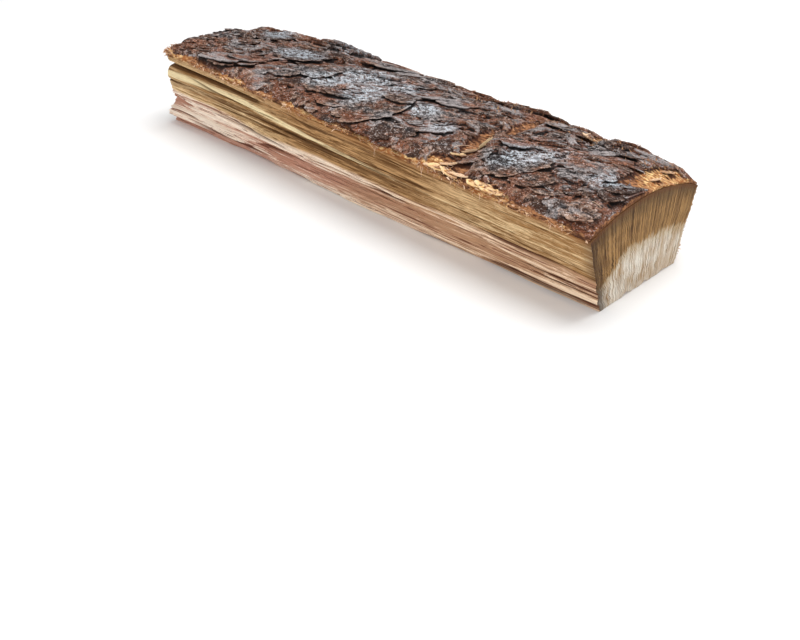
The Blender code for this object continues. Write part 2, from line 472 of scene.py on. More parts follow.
def under_face(along, across):
    """Height of the lower face: flat lands at 0, with shallow grooves that wander along the grain."""
    depth = np.zeros(along.shape)
    drift = 0.03 * field(along * 3.0, 0.5, 7.0)
    for centre, half_width, deep in UNDER_GROOVES:
        fall = np.maximum(0.0, 1 - np.abs(across + drift - centre) / half_width)
        strength = smooth(-0.25, 0.25, field(along * 4.0, centre * 30.0, 1.0))
        depth = np.maximum(depth, deep * fall * strength)
    return depth + np.maximum(0.0, torn_grain(along, across * UNDER_WIDTH, 0.8, 61.5))


def cad_left_edge():
    """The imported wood's left edge, from the rows it was made with, measured as the sections above are."""
    rows = np.linspace(0, 1, CAD_ROWS)
    shoulder = corner("left_shoulder", rows)[0]
    return (shoulder - (ledge(LEFT_LEDGES, rows, 1.0) + wave(rows, np.ones(CAD_ROWS), 2.5))).min()


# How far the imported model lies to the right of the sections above
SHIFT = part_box("wood")[0].y - cad_left_edge()


def block(cell_counts, strips, fine_height):
    """A unit block, with fine cells on its four walls and at fine_height, and strips on the hidden side."""
    long, wide, levels = cell_counts
    mesh = bmesh.new()
    bmesh.ops.create_grid(mesh, x_segments=long, y_segments=wide, size=0.5)
    rim = [edge for edge in mesh.edges if edge.is_boundary]
    bmesh.ops.translate(mesh, verts=mesh.verts, vec=(0.5, 0.5, fine_height))
    walls = bmesh.ops.extrude_edge_only(mesh, edges=rim)["geom"]
    ring = [item for item in walls if isinstance(item, bmesh.types.BMVert)]
    bmesh.ops.translate(mesh, verts=ring, vec=(0, 0, 1 - 2 * fine_height))
    hidden_rim = [edge for edge in mesh.edges if edge.is_boundary]
    caps = bmesh.ops.edgeloop_fill(mesh, edges=hidden_rim)["faces"]
    for strip in range(1, strips):
        around = set(caps) | {e for cap in caps for e in cap.edges} | {v for cap in caps for v in cap.verts}
        cut = bmesh.ops.bisect_plane(
            mesh, geom=list(around), dist=1e-6, plane_co=(0, strip / strips, 0), plane_no=(0, 1, 0)
        )
        caps = [item for item in cut["geom"] if isinstance(item, bmesh.types.BMFace)]
    upright = [edge for edge in mesh.edges if abs(edge.verts[0].co.z - edge.verts[1].co.z) > 0.5]
    bmesh.ops.subdivide_edges(mesh, edges=upright, cuts=levels - 1, use_grid_fill=True)
    return mesh


def finished(name, mesh, facts=(), sharp=45):
    """The object for a bmesh. Facts are (attribute name, value of each vertex)."""
    bmesh.ops.recalc_face_normals(mesh, faces=mesh.faces)
    data = bpy.data.meshes.new(name)
    mesh.to_mesh(data)
    mesh.free()
    for label, values in facts:
        data.attributes.new(label, "FLOAT", "POINT").data.foreach_set("value", np.ascontiguousarray(values))
    data.shade_smooth()
    data.set_sharp_from_angle(angle=math.radians(sharp))
    made = bpy.data.objects.new(name, data)
    bpy.context.scene.collection.objects.link(made)
    return made


def unit_places(mesh):
    return np.array([vertex.co for vertex in mesh.verts]).T


def move_to(mesh, x, y, z):
    for vertex, place in zip(mesh.verts, zip(x, y + SHIFT, z)):
        vertex.co = place


def split_wood():
    """The wood: torn side faces, a lower face with flat lands, and sawn ends."""
    mesh = block(WOOD_CELLS, WOOD_STRIPS, 0)
    sawn = mesh.faces.layers.float.new("sawn")
    for face in mesh.faces:
        middle = face.calc_center_median()
        face[sawn] = float(min(middle.x, 1 - middle.x) < 1e-5)
    along, across, up = unit_places(mesh)
    left, right = left_face(along, up), right_face(along, up)
    y = lerp(left, right, across)
    top_y = lerp(left_face(along, np.ones(along.shape)), right_face(along, np.ones(along.shape)), across)
    z = lerp(under_face(along, across), outside_height(along, top_y), up)
    end = np.where(along > 1 - 1e-5, 1.0, 0.0) - np.where(along < 1e-5, 1.0, 0.0)
    spread = across * 0.10
    fibres = field(spread / 0.0014, up * 1.1, 71.0) + 0.6 * field(spread / 0.003, up * 0.8, 72.0)
    marks = np.sin(2 * math.pi * (spread * 0.35 + up * 0.055) / SAW_MARK_PITCH)
    inward = np.minimum(0.0, SAW_FIBRE * fibres + SAW_MARK * marks - 0.0002)
    x = (along - 0.5) * LENGTH + end * inward
    move_to(mesh, x, y, z)
    grain = np.where(across < 0.5, left_grain(along, up), right_grain(along, up)) / (TREAD + RIDGE + FIBRE)
    # Where a highlight is painted along the left face's lit ledge
    over = up + 0.02 * field(along * 9.0, 0.5, 51.0) - np.interp(along * LENGTH, *zip(*PALE_STREAK))
    reach = lerp(0.085, 0.060, smooth(0.0, 0.5, along))
    highlight_streak = 1 - smooth(0.3 * reach, reach, np.abs(over))
    # The band just under the ledge, where a shadow is painted
    shadow = 1 - smooth(0.2 * reach, 0.7 * reach, np.abs(over + 1.5 * reach))
    splits = np.where(across < 0.5, left_splits(along, up), right_splits(along, up))
    facts = (
        ("along", along), ("across", across), ("up", up), ("grain", grain), ("splits", splits),
        ("highlight_streak", highlight_streak * (across < 0.5)), ("shadow", shadow * (across < 0.5)),
    )
    return finished("split_wood", mesh, facts)


def ellipse(s, t, place):
    """Offsets from an ellipse's centre as shares of its radii, along it and across it."""
    centre_s, centre_t, radius_s, radius_t, turn = place
    cos, sin = math.cos(math.radians(turn)), math.sin(math.radians(turn))
    ds, dt = s - centre_s, t - centre_t
    return (ds * cos + dt * sin) / radius_s, (dt * cos - ds * sin) / radius_t


def cover_of(places, s, t, edge, ragged):
    """How far inside any of these places each point is, from 0 to 1."""
    cover = np.zeros(s.shape)
    for place in places:
        reach = np.hypot(*ellipse(s, t, place))
        cover = np.maximum(cover, 1 - smooth(1 - edge, 1 + edge, reach + ragged))
    return cover


def square_plate(cells):
    """A closed plate from -1 to 1, with this many cells on a side, and where its vertices are."""
    mesh = bmesh.new()
    bmesh.ops.create_grid(mesh, x_segments=cells, y_segments=cells, size=1.0)
    raised = bmesh.ops.extrude_face_region(mesh, geom=mesh.faces[:], use_keep_orig=True)["geom"]
    top = [item for item in raised if isinstance(item, bmesh.types.BMVert)]
    bmesh.ops.translate(mesh, verts=top, vec=(0, 0, 1))
    data = bpy.data.meshes.new("square_plate")
    mesh.to_mesh(data)
    places = unit_places(mesh)
    mesh.free()
    return data, places


def scale_outline(seed):
    """Radius of a scale's ragged outline, about 1, at even steps round it."""
    turn = np.linspace(0, 2 * math.pi, 61)
    cos, sin = np.cos(turn), np.sin(turn)
    broad, middle = field(1.1 * cos, 1.1 * sin, seed), field(3.4 * cos, 3.4 * sin, seed + 0.4)
    return 1 + OUTLINE_WAVE * (broad + 0.9 * middle + 0.7 * field(8.0 * cos, 8.0 * sin, seed + 0.7))


def outline_radius(outline, along, across):
    share = np.arctan2(across, along) / (2 * math.pi) % 1.0
    return np.interp(share * (len(outline) - 1), np.arange(len(outline)), outline)


class Bark:
    """The bark's surface as a grid, with plates raised out of it and thin scales laid on it.

    s and t are metres along the bark from its back end, and across it from the wood's left shoulder.
    """

    def __init__(self, s, t, ground, bare):
        self.s, self.t, self.ground, self.bare = s, t, ground, bare
        broad, fine = (s / 0.012, t / 0.008), (s / 0.004, t / 0.0030)
        self.bent_s = s + 0.0034 * field(*broad, 24.0) + 0.0018 * field(*fine, 25.0)
        self.bent_t = t + 0.0020 * field(*broad, 26.0) + 0.0013 * field(*fine, 27.0)
        self.tone = np.full(s.shape, 0.5)
        self.plated = np.zeros(s.shape)
        self.mesh = bmesh.new()
        self.parts = []
        self.dice = random.Random(11)

    def window(self, place):
        """The columns of the grid that a plate or scale can reach."""
        ends = (place[0] - 1.5 * place[2], place[0] + 1.5 * place[2])
        first, last = (int(np.clip(round(end / LENGTH * BARK_CELLS[0]), 0, BARK_CELLS[0])) for end in ends)
        return slice(first, last + 1)

    def cell_of(self, s, t):
        """Column and row of the ground's cell at each place."""
        column = np.clip(np.rint(s / LENGTH * BARK_CELLS[0]).astype(int), 0, BARK_CELLS[0])
        left, right = self.t[column, 0], self.t[column, -1]
        row = np.rint((t - left) / (right - left) * BARK_CELLS[1]).astype(int)
        return column, np.clip(row, 0, BARK_CELLS[1])

    def bed(self, window, along, across, inside, thickness):
        """Height and slopes of a plate or scale that rests on what lies under it."""
        a, b, under = along[inside], across[inside], self.ground[window][inside]
        level = under.mean()
        slope_a = np.clip(((under - level) * a).sum() / (a * a).sum(), -STEEPEST, STEEPEST)
        slope_b = np.clip(((under - level) * b).sum() / (b * b).sum(), -STEEPEST, STEEPEST)
        level += np.quantile(under - level - slope_a * a - slope_b * b, 0.5) + thickness
        return level, slope_a, slope_b

    def places(self, count, least, most, ratio, spread):
        """Random places, each the lowest of three, given as the biggest scales are."""
        for _ in range(count):
            tries = [(self.dice.uniform(0, LENGTH), self.dice.uniform(0, 0.115)) for _ in range(3)]
            s, t = min(tries, key=lambda place: self.ground[self.cell_of(*place)])
            half_length = self.dice.uniform(least, most)
            half_width = half_length * ratio * self.dice.uniform(0.75, 1.25)
            yield s, t, half_length, half_width, self.dice.gauss(PLATE_TURN, spread)

    def raise_plates(self, count, least, most, ratio, spread, thickness, tilt):
        """Raises plates out of the surface. Each steps up on its left side and runs out on its right."""
        for place in self.places(count, least, most, ratio, spread):
            window = self.window(place)
            along, across = ellipse(self.bent_s[window], self.bent_t[window], place)
            inside = (np.hypot(along, across) < 1) & (self.bare[window] < 0.5)
            if inside.sum() < 5:
                continue
            thick = thickness * self.dice.uniform(0.6, 1.3)
            level, slope_a, slope_b = self.bed(window, along, across, inside, thick)
            top = level + slope_a * along + (slope_b - tilt) * across
            raised = inside & (top > self.ground[window])
            self.ground[window][raised] = top[raised]
            self.plated[window][raised] = 1.0
            self.tone[window][raised] = self.dice.random()

    def lay(self, plate, place, thickness, lift, pale=0.0):
        """Lays one scale, with its left edge lifted, or one raw chip where it is pale."""
        data, (x, y, upper) = plate
        outline = scale_outline(self.dice.uniform(0, 90))
        window = self.window(place)
        along, across = ellipse(self.s[window], self.t[window], place)
        inside = np.hypot(along, across) < outline_radius(outline, along, across)
        if inside.sum() < 5 or (pale == 0 and self.bare[window][inside].mean() > 0.35):
            return
        level, slope_a, slope_b = self.bed(window, along, across, inside, thickness)

        def top(along, across):
            curl = 0.5 * lift * (along * along + across * across)
            return level + curl + (slope_a + 0.3 * lift) * along + (slope_b - 0.9 * lift) * across

        covered = np.where(inside, top(along, across), 0.0)
        self.ground[window] = np.maximum(self.ground[window], covered)
        along, across = x * np.sqrt(1 - y * y / 2), y * np.sqrt(1 - x * x / 2)
        stretch = outline_radius(outline, along, across) * lerp(0.94, 1.0, upper)
        along, across = along * stretch, across * stretch
        cos, sin = math.cos(math.radians(place[4])), math.sin(math.radians(place[4]))
        s = place[0] + along * place[2] * cos - across * place[3] * sin
        t = place[1] + along * place[2] * sin + across * place[3] * cos
        height = top(along, across) - (1 - upper) * thickness
        self.mesh.from_mesh(data)
        self.parts.append((s, t, height, np.full(s.shape, self.dice.random()), np.full(s.shape, pale)))

    def scatter(self, count, least, most, ratio, spread, thickness, lift, cells):
        """Lays scales at random, flatter on the far side, with their middles kept off the side edges."""
        plate = square_plate(cells)
        for place in self.places(count, least, most, ratio, spread):
            column = self.cell_of(*place[:2])[0]
            rim = min(place[1] - self.t[column, 0], self.t[column, -1] - place[1])
            if rim > 0.25 * place[3]:
                far = smooth(0.050, 0.080, place[1])
                self.lay(plate, place, thickness, lift * self.dice.uniform(0.3, 1.7) * (1 - 0.9 * far))


def held_back(value, low, high):
    """The value, with what passes low or high pressed into the last part of a millimetre."""
    over = np.maximum(value - high, 0.0)
    under = np.maximum(low - value, 0.0)
    return value - over + 0.0006 * over / (over + 0.002) + under - 0.0006 * under / (under + 0.002)


def blurred(grid, reach):
    """The grid averaged over a square of 2 reach + 1 cells."""
    weights = np.ones(2 * reach + 1) / (2 * reach + 1)
    padded = np.pad(grid, reach, mode="edge")
    rows = np.apply_along_axis(np.convolve, 0, padded, weights, mode="valid")
    return np.apply_along_axis(np.convolve, 1, rows, weights, mode="valid")


def golden_rim(s):
    """0 to 1 along the bark's edges: where the inner bark shows as a golden fringe."""
    return smooth(-0.22, 0.12, field(s / 0.014, 0.0, 14.0))


def bark_fields(s, t, rim):
    """Thickness of the bark under its plates, and how bare it is, at each point."""
    ragged = 0.30 * field(s / 0.008, t / 0.008, 4.0) + 0.22 * field(s / 0.0025, t / 0.002, 5.0)
    bare = cover_of(BARE_PATCHES, s, t, BARE_EDGE, ragged)
    band = np.maximum(1e-5, 0.0030 * golden_rim(s) + 0.0018 * field(s / 0.004, t / 0.002, 15.0))
    bare = np.maximum(bare, 1 - smooth(0.6, 1.2, rim / band))
    swell = SWELL * field(s / SWELL_LENGTH, t / SWELL_LENGTH, 12.0)
    outer = OUTER_BARK + LUMPS * field(s / 0.020, t / 0.009, 13.0) + swell
    frayed = 0.0011 * field(s / 0.007, t / 0.0022, 17.0)
    frayed = frayed + 0.0005 * rough_field(s / 0.0030, t / 0.0020, 18.0, 3)
    thickness = INNER_BARK + np.maximum(0.0, outer) * (1 - BARE_DEPTH * bare) + frayed * bare
    return np.maximum(thickness, 0.0012), bare


def bark_wander(along):
    """How far the bark's side edges stand out past the wood."""
    slow, quick = field(along * 17.0, 0.3, 5.0), field(along * 90.0, 0.3, 6.0)
    return BARK_OVERHANG * (0.4 + 1.3 * slow) + 0.0007 * quick


def bark_facts(bark, s, t, height, others):
    """What the colour follows: lichen, and how far each point lies under or over what is round it, for
    painted shade in the hollows and a painted highlight on the crests.
    """
    cell = bark.cell_of(s, t)
    near, wide = blurred(bark.ground, 2)[cell] - height, blurred(bark.ground, 6)[cell] - height
    ragged = 0.55 * field(s / 0.007, t / 0.005, 33.0) + 0.40 * field(s / 0.0025, t / 0.0020, 35.0)
    lichen = cover_of(LICHENS, s, t, 0.5, ragged)
    # Painted shade in the hollows, and a painted highlight on the crests
    crevice = np.clip(near / 0.0009, 0, 1) * 0.7 + np.clip(wide / 0.0026, 0, 1) * 0.5
    crest = np.clip(-near / 0.0005, 0, 1) * 0.5 + np.clip(-wide / 0.0016, 0, 1) * 0.5
    margin = np.minimum(t - bark.t[cell[0], 0], bark.t[cell[0], -1] - t)
    side = 1 - smooth(0.003, 0.022, margin)
    crevice = np.clip(crevice, 0, 1) * lerp(0.3, 1.0, smooth(0.001, 0.007, np.minimum(margin, LENGTH - s)))
    return others + (("lichen", lichen), ("crevice", crevice), ("crest", crest), ("side", side))


def bark_pieces():
    """The bark with its plates and its frayed walls, the scales that are laid on it, and its shreds."""
    mesh = block(BARK_CELLS, BARK_STRIPS, 1)
    along, across, outward = unit_places(mesh)
    cell = tuple(np.rint(share * count).astype(int) for share, count in zip((along, across), BARK_CELLS))
    end_rim = np.minimum(along, 1 - along) * LENGTH
    x = (along - 0.5) * (LENGTH - 2 * BARK_END_BACKSET)
    along = x / LENGTH + 0.5
    wood_left, wood_right = corner("left_shoulder", along)[0], corner("right_shoulder", along)[0]
    left = wood_left - bark_wander(along)
    right = wood_right + bark_wander(along + 1.7)
    y = lerp(left, right, across)
    s, t = along * LENGTH, y - wood_left
    rim = np.minimum(across, 1 - across) * (right - left)
    thickness, bare = bark_fields(s, t, np.minimum(rim, end_rim + 0.0018))

    top = outward > 1 - 1e-5
    grids = np.zeros((4, BARK_CELLS[0] + 1, BARK_CELLS[1] + 1))
    grids[:, cell[0][top], cell[1][top]] = s[top], t[top], thickness[top], bare[top]
    bark = Bark(*grids)
    bark.raise_plates(*LARGE_PLATES)
    bark.raise_plates(*SMALL_PLATES)
    torn = 0.65 * smooth(0.0, 0.4, blurred(bark.bare, 5))
    bark.ground = lerp(bark.ground, blurred(bark.ground, 8), torn)
    bark.ground += 0.0009 * bark.bare * rough_field(grids[0] / 0.0050, grids[1] / 0.0020, 20.0, 3)
    bark.ground += 0.00022 * rough_field(grids[0] / 0.0030, grids[1] / 0.0022, 16.0, 3)
    edge = np.minimum(grids[1] - grids[1][:, :1], grids[1][:, -1:] - grids[1])
    bark.ground *= 1 - RIM_ROUNDING * (1 - smooth(0.0, 0.008, edge))
    bark.ground *= 1 - FRONT_ROUNDING * (1 - smooth(0.0, 0.009, LENGTH - grids[0]))
    rise = outward * bark.ground[cell]
    plated, tone = bark.plated[cell], bark.tone[cell]
    bark.scatter(*LARGE_SCALES)
    big = square_plate(LARGE_SCALES[-1])
    for place in BIG_SCALES:
        bark.lay(big, place, *BIG_SCALE_LOOK)
    bark.scatter(*MIDDLE_SCALES)
    bark.scatter(*SMALL_SCALES)
    chip = square_plate(MIDDLE_SCALES[-1])
    for place in RAW_CHIPS:
        bark.lay(chip, place, *CHIP_LOOK, 1.0)

    nearest = np.minimum(rim, end_rim)
    wall = (1 - smooth(0.0, BARK_WALL, nearest)) * smooth(0.0, 0.2, outward) * (1 - 0.4 * outward)
    fray = 0.0007 * wall * rough_field(s / 0.0020 + 3 * outward, t / 0.0020 - outward * 2.2, 18.0, 2)
    end = np.where(along > 0.5, 1.0, -1.0) * (end_rim < BARK_WALL)
    side = np.where(across > 0.5, 1.0, -1.0) * (rim < BARK_WALL)
    torn_back = (end_rim < 1e-5) * (along < 0.5) * smooth(0.0, 0.5, field(t / 0.010, 0.0, 19.0))
    x = x + end * fray - 0.0022 * torn_back
    move_to(mesh, x, y + side * fray, outside_height(along, y) + BARK_GAP + rise)
    wall_bare = np.where(rim < BARK_WALL, 0.6 + 0.4 * golden_rim(s), 0.85) * (nearest < BARK_WALL)
    golden = cover_of(GOLDEN_PATCHES, s, t, 0.4, 0.4 * field(s / 0.006, t / 0.004, 34.0))
    others = (("bare", np.maximum(bare, wall_bare)), ("tone", tone), ("scale", plated), ("golden", golden))
    walled = np.where(top, rise, lerp(bark.ground[cell], rise, 0.35))
    facts = bark_facts(bark, s, t, walled, others)
    return finished("bark_layer", mesh, facts), bark_scales(bark), bark_shreds(bark)


def bark_scales(bark):
    """All of the bark's scales and raw chips as one mesh."""
    s, t, height, tone, pale = np.concatenate(bark.parts, axis=1)
    s = held_back(s, 0.0004, LENGTH - 0.0004)
    along = s / LENGTH
    width = corner("right_shoulder", along)[0] - corner("left_shoulder", along)[0]
    t = held_back(t, -bark_wander(along), width + bark_wander(along + 1.7))
    y = corner("left_shoulder", along)[0] + t
    move_to(bark.mesh, s - LENGTH / 2, y, outside_height(along, y) + BARK_GAP + height)
    others = (
        ("tone", tone), ("scale", np.ones(s.shape)), ("bare", pale), ("pale", 0.7 * pale), ("golden", pale),
    )
    return finished("bark_scales", bark.mesh, bark_facts(bark, s, t, height, others), 30)


def bark_point(s, t, rise):
    """The point this high over the wood's outside, s from the back end and t from the left shoulder."""
    along = s / LENGTH
    y = corner("left_shoulder", along)[0] + t
    return Vector((s - LENGTH / 2, y, outside_height(along, y) + BARK_GAP + rise))


class Slivers:
    """Thin bent slivers as one mesh. Each is a tapering bar of four sides, thinner than it is wide."""

    def __init__(self, seed):
        shape = bmesh.new()
        bmesh.ops.create_cone(shape, cap_ends=True, segments=4, radius1=1.0, radius2=0.35, depth=1.0)
        bmesh.ops.translate(shape, verts=shape.verts, vec=(0, 0, 0.5))
        sides = [edge for edge in shape.edges if abs(edge.verts[0].co.z - edge.verts[1].co.z) > 0.5]
        bmesh.ops.subdivide_edges(shape, edges=sides, cuts=4, use_grid_fill=True)
        self.shape = bpy.data.meshes.new("sliver")
        shape.to_mesh(self.shape)
        self.wide, self.thick, self.along = unit_places(shape)
        shape.free()
        self.mesh = bmesh.new()
        self.dice = random.Random(seed)
        self.parts = []

    def size(self, lengths, widths, curls, thickness):
        """A size for one sliver, each value between its least and its greatest."""
        length, width, curl = (self.dice.uniform(*ends) for ends in (lengths, widths, curls))
        return length, width, thickness, curl

    def add(self, root, way, size, *looks):
        """A sliver from its root, pointing one way, that curls by a share of its length, up or down."""
        length, width, thickness, curl = size
        way = Vector(way).normalized()
        side = way.cross(Vector((0, 0, 1))).normalized()
        if self.dice.random() < 0.5:
            side = (side + Vector((0, 0, self.dice.uniform(-0.8, 0.8)))).normalized()
        flat = side.cross(way)
        bend = length * curl * self.along ** 2
        swing = length * self.dice.uniform(-0.25, 0.25) * self.along ** 2
        places = [
            root[axis] + way[axis] * length * self.along + flat[axis] * (bend + self.thick * thickness)
            + side[axis] * (swing + self.wide * width)
            for axis in range(3)
        ]
        self.mesh.from_mesh(self.shape)
        looks = (self.dice.random(), *looks)
        self.parts.append((*places, *(np.full(self.along.shape, look) for look in looks)))

    def object(self, name, looks):
        """The slivers as one object. Looks names the values that each was given after its random tone."""
        x, y, z, *values = np.concatenate(self.parts, axis=1)
        move_to(self.mesh, x, y, z)
        return finished(name, self.mesh, [("bare", np.ones(x.shape)), *zip(("tone", *looks), values)])


def left_rim(s):
    """The bark's left edge, as the distance from the left shoulder."""
    return -float(bark_wander(np.array([s / LENGTH]))[0])


def bark_shreds(bark):
    """Frayed inner bark: fringes, shreds, hairs on the rim, splinters of the chips and arched fibres."""
    def on_bark(s, t, sunk=0.0003):
        ground = bark.ground[bark.cell_of(np.array([s]), np.array([t]))][0]
        return bark_point(s, t, float(ground) - sunk)

    shreds = Slivers(5)
    dice = shreds.dice
    for _ in range(RIM_SHREDS):
        s = dice.uniform(0.001, LENGTH - 0.002)
        if golden_rim(np.array([s]))[0] < dice.random():
            continue
        t = left_rim(s) + dice.uniform(-0.0002, 0.0012)
        root = bark_point(s, t, dice.uniform(0.0002, 0.0028))
        way_s = dice.choice((-1, 1)) * dice.uniform(0.3, 1.0)
        way = (way_s, dice.uniform(-0.9, 0.1), dice.uniform(-0.7, 0.5))
        shreds.add(root, way, shreds.size(*RIM_SIZE), dice.random(), dice.uniform(0.5, 1.0))
    for _ in range(CORNER_SHREDS):
        s, t = dice.uniform(0.0008, 0.007), left_rim(0) + dice.uniform(-0.0004, 0.004)
        root = bark_point(s, t, dice.uniform(0.0006, 0.0034))
        way = (-1.0, dice.uniform(-1.0, 0.3), dice.uniform(-0.3, 0.6))
        shreds.add(root, way, shreds.size(*CORNER_SIZE), 0.6 * dice.random(), dice.uniform(0.5, 1.0))
    for _ in range(FAR_SHREDS):
        root = on_bark(dice.uniform(0.230, LENGTH - 0.003), dice.uniform(0.076, 0.109), 0.0004)
        way = (dice.uniform(-1.0, 1.0), dice.uniform(-0.6, 0.6), dice.uniform(0.2, 1.0))
        shreds.add(root, way, shreds.size(*FAR_SIZE), 0.3 * dice.random(), 0.5 * dice.random())
    for _ in range(PATCH_SHREDS):
        centre_s, centre_t, radius_s, radius_t, golden = dice.choice(SHRED_PATCHES)
        reach, turn = math.sqrt(dice.random()), dice.uniform(0, 2 * math.pi)
        s = min(centre_s + reach * radius_s * math.cos(turn), LENGTH - 0.001)
        t = max(centre_t + reach * radius_t * math.sin(turn), left_rim(s))
        way = (dice.choice((-1, 1)), dice.gauss(0, 0.6), dice.uniform(0.0, 0.3))
        size = shreds.size(*PATCH_SIZE)
        shreds.add(on_bark(s, t), way, size, golden * dice.random(), golden * dice.random())
    for s in RIM_HAIRS:
        for _ in range(dice.choice((1, 2, 2, 3))):
            root = bark_point(s + dice.gauss(0, 0.0015), left_rim(s), dice.uniform(0.0004, 0.0018))
            way = (dice.uniform(-0.9, 0.9), -0.5, dice.uniform(-1.0, 0.1))
            length, curl = dice.uniform(0.003, 0.006), dice.choice((-1, 1)) * dice.uniform(0.5, 1.1)
            shreds.add(root, way, (length, *HAIR, curl), 1.0, 1.0)
    for s, t, length, width, turn in RAW_CHIPS:
        for _ in range(3):
            side = math.radians(turn + dice.gauss(0, 30))
            root = on_bark(s + dice.gauss(0, 0.003), t + dice.gauss(0, 0.0016))
            way = (math.cos(side), math.sin(side), dice.uniform(0.0, 0.25))
            share, curl = dice.uniform(0.4, 1.0), dice.uniform(-0.5, 0.3)
            shreds.add(root, way, (length * share, width * share * 0.3, CHIP_SPLINTER, curl), 0.9, 0.9)
    for s, t, way_s, way_t, length in ARCHED_FIBRES:
        shreds.add(on_bark(s, t), (way_s, way_t, 0.55), (length, *ARCH), 1.0, 1.0)
    return shreds.object("bark_shreds", ("pale", "golden"))


def wood_splinters():
    """Torn fibres on the left split face, and splinters that the saw left on the front end's right edge."""
    splinters = Slivers(8)
    dice = splinters.dice
    along = np.array([dice.uniform(0.02, 0.98) for _ in range(FACE_FIBRES)])
    up = np.array([dice.uniform(0.10, 0.92) for _ in range(FACE_FIBRES)])
    for share, height, y in zip(along, up, left_face(along, up)):
        root = Vector((LENGTH * (share - 0.5), y + 0.0004, height * outside_height(share, y)))
        way = (dice.choice((-1, 1)), -dice.uniform(0.06, 0.30), dice.uniform(-0.25, 0.10))
        length, curl = dice.uniform(0.003, 0.012), dice.uniform(-0.3, 0.2)
        size = (length, dice.uniform(0.00012, 0.00035), 0.00010, curl)
        splinters.add(root, way, size, share, 0.3 + 0.6 * height)
    up = np.array([dice.uniform(0.05, 1.0) for _ in range(EDGE_SPLINTERS)])
    for height, y in zip(up, right_face(np.ones(up.shape), up)):
        x = LENGTH / 2 - dice.uniform(0.0006, 0.0015)
        root = Vector((x, y - 0.0004, height * outside_height(1.0, y)))
        way = (dice.uniform(-0.2, 0.8), dice.uniform(0.2, 1.0), dice.uniform(-1.0, 0.5))
        length, curl = dice.uniform(0.0006, 0.0026), dice.uniform(-0.5, 0.5)
        splinters.add(root, way, (length, dice.uniform(0.0002, 0.0005), 0.00020, curl), 0.5, 0.9)
    return splinters.object("wood_splinters", ("along", "up"))


class Number:
    """A number that varies over a surface. Arithmetic on it adds Math nodes to its finish."""

    def __init__(self, finish, socket):
        self.finish = finish
        self.socket = socket

    def math(self, operation, *values):
        made = self.finish.node("ShaderNodeMath", {"operation": operation}, dict(enumerate(values)))
        return Number(self.finish, made.outputs[0])

    def __add__(self, other):
        return self.math("ADD", self, other)

    def __radd__(self, other):
        return self.math("ADD", other, self)

    def __sub__(self, other):
        return self.math("SUBTRACT", self, other)

    def __rsub__(self, other):
        return self.math("SUBTRACT", other, self)

    def __mul__(self, other):
        return self.math("MULTIPLY", self, other)

    def __rmul__(self, other):
        return self.math("MULTIPLY", other, self)

    def between(self, low, high):
        """0 where this is below low, 1 above high, and an even curve between."""
        settings = {"interpolation_type": "SMOOTHSTEP"}
        made = self.finish.node("ShaderNodeMapRange", settings, {0: self, 1: low, 2: high, 3: 0.0, 4: 1.0})
        return Number(self.finish, made.outputs[0])


class Finish:
    """A procedural material, and the ways to add its nodes."""

    def __init__(self, name):
        self.material = bpy.data.materials.new(name)
        self.material.use_nodes = True
        self.tree = self.material.node_tree
        self.shader = self.tree.nodes["Principled BSDF"]
        self.place = self.node("ShaderNodeTexCoord").outputs["Object"]

    def node(self, kind, settings=None, inputs=None):
        made = self.tree.nodes.new(kind)
        for name, value in (settings or {}).items():
            setattr(made, name, value)
        for key, value in (inputs or {}).items():
            self.feed(made.inputs[key], value)
        return made

    def feed(self, socket, value):
        value = value.socket if isinstance(value, Number) else value
        if isinstance(value, bpy.types.NodeSocket):
            self.tree.links.new(value, socket)
        else:
            socket.default_value = value

    def fact(self, name):
        """A value that the mesh holds for each vertex or face."""
        return Number(self, self.node("ShaderNodeAttribute", {"attribute_name": name}).outputs["Fac"])

    def scaled(self, scale, place=None):
        settings = {"operation": "MULTIPLY"}
        made = self.node("ShaderNodeVectorMath", settings, {0: place or self.place, 1: scale})
        return made.outputs[0]

    def vector(self, *parts):
        return self.node("ShaderNodeCombineXYZ", None, dict(enumerate(parts))).outputs[0]

    def noise(self, place, detail=2.0, rough=0.5, twist=0.0):
        inputs = {"Vector": place, "Scale": 1.0, "Detail": detail, "Roughness": rough, "Distortion": twist}
        return Number(self, self.node("ShaderNodeTexNoise", None, inputs).outputs["Fac"])

    def crack(self, place, bend, amount):
        """1 on the lines between irregular cells, and 0 inside them."""
        bent = self.node("ShaderNodeVectorMath", {"operation": "ADD"}, {0: place, 1: bend * amount})
        inputs = {"Vector": bent.outputs[0], "Scale": 1.0}
        made = self.node("ShaderNodeTexVoronoi", {"feature": "DISTANCE_TO_EDGE"}, inputs)
        return 1 - Number(self, made.outputs["Distance"]).between(0.0, 0.10)

    def mix(self, first, second, share):
        made = self.node("ShaderNodeMix", {"data_type": "RGBA"}, {0: share, 6: first, 7: second})
        return made.outputs[2]

    def layers(self, colour, *others):
        """The colour with others laid over it in turn, each given with its share."""
        for other, share in others:
            colour = self.mix(colour, other, share)
        return colour

    def shade(self, colour, amount):
        """The colour made lighter or darker by a factor."""
        made = self.node("ShaderNodeVectorMath", {"operation": "SCALE"}, {0: colour, "Scale": amount})
        return made.outputs[0]

    def set(self, colour, rough, height, distance):
        """Links the finish to its shader, with the height as relief over this distance."""
        self.feed(self.shader.inputs["Base Color"], colour)
        self.feed(self.shader.inputs["Roughness"], rough)
        self.shader.inputs["Specular IOR Level"].default_value = 0.25
        bump = self.node("ShaderNodeBump", None, {"Strength": 1.0, "Distance": distance, "Height": height})
        self.feed(self.shader.inputs["Normal"], bump.outputs[0])
        return self.material


def rgb(red, green, blue):
    """A linear colour from the 0 to 255 values that a screen shows."""
    return tuple((value / 255) ** 2.2 for value in (red, green, blue)) + (1.0,)


